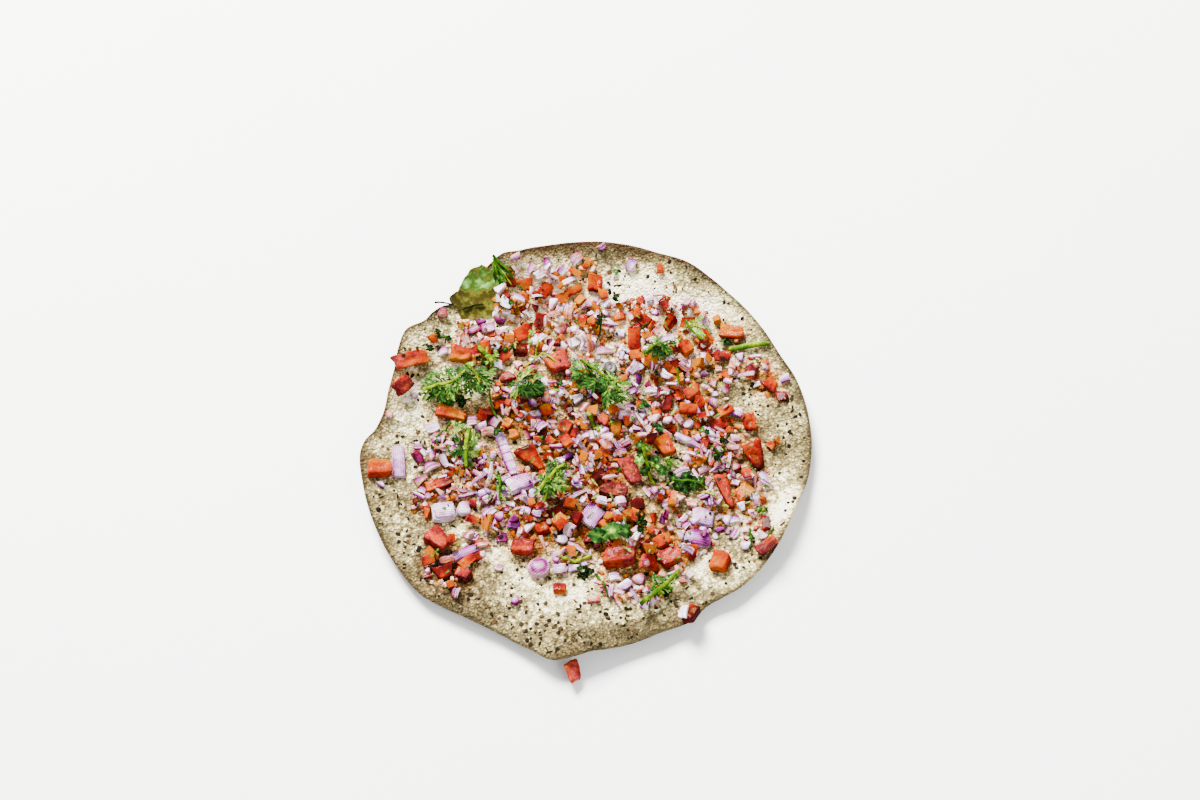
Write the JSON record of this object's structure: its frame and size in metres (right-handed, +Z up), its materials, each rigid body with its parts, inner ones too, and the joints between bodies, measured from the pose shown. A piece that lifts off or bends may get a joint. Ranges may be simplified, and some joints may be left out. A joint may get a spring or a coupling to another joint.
{
  "type": "masala papad",
  "caption": "Thin round roasted lentil wafer with a wavy, upturned rim, spread with chopped onion, tomato and coriander; eaten by breaking pieces off",
  "frame": {"origin": "on the table, under the middle of the whole's plan box, at the height of the wafer's flat underside", "axes": "+Z up; -Y towards the near tip of the wafer, where the viewer stands; +X to the viewer's right"},
  "size_m": [0.188, 0.1974, 0.0182],
  "materials": {
    "wafer": "dry roasted lentil wafer, cream to khaki, with dark specks",
    "salad": "moist chopped onion and tomato",
    "tomato": "wet, orange-red to dark red",
    "onion": "moist, pink-white to lilac with purple skin",
    "coriander": "fresh green leaf",
    "lettuce": "pale green leaf"
  },
  "bodies": {
    "root": {"papad": "wafer", "chopped_salad_1": "salad", "chopped_salad_2": "salad", "tomato_middle_left": "tomato", "tomato_strip_left_rim": "tomato", "tomato_left_rim": "tomato", "tomato_upper_left": "tomato", "tomato_strip_left": "tomato", "tomato_far_left": "tomato", "tomato_red_left": "tomato", "tomato_wedge_middle": "tomato", "tomato_slice_middle": "tomato", "tomato_dark_middle": "tomato", "tomato_orange_right": "tomato", "tomato_right_upper": "tomato", "tomato_right_lower": "tomato", "tomato_strip_right": "tomato", "tomato_near_middle": "tomato", "tomato_near_right": "tomato", "tomato_orange_near_right": "tomato", "tomato_strip_near_right": "tomato", "tomato_near_left": "tomato", "tomato_low_left": "tomato", "tomato_near_rim": "tomato", "tomato_peach_far_right": "tomato", "tomato_orange_far": "tomato", "tomato_fallen": "tomato", "onion_strip_middle": "onion", "onion_plate_middle": "onion", "onion_strip_left": "onion", "onion_block_left": "onion", "onion_strip_right": "onion", "onion_diamond_near": "onion", "onion_curl_near_right": "onion", "onion_plate_right": "onion", "onion_near_left": "onion", "onion_strip_low_left": "onion", "green_stalk_far_right": "coriander", "lettuce_scrap_rim": "lettuce", "coriander_left_outer": "coriander", "coriander_left_inner": "coriander", "coriander_upper_middle": "coriander", "coriander_middle_outer": "coriander", "coriander_middle_inner": "coriander", "coriander_lower_left": "coriander", "coriander_bright_middle": "coriander", "coriander_right": "coriander", "coriander_dark_right": "coriander", "coriander_flat_near": "coriander", "coriander_near_right": "coriander", "coriander_far_rim": "coriander"}
  },
  "joints": []
}
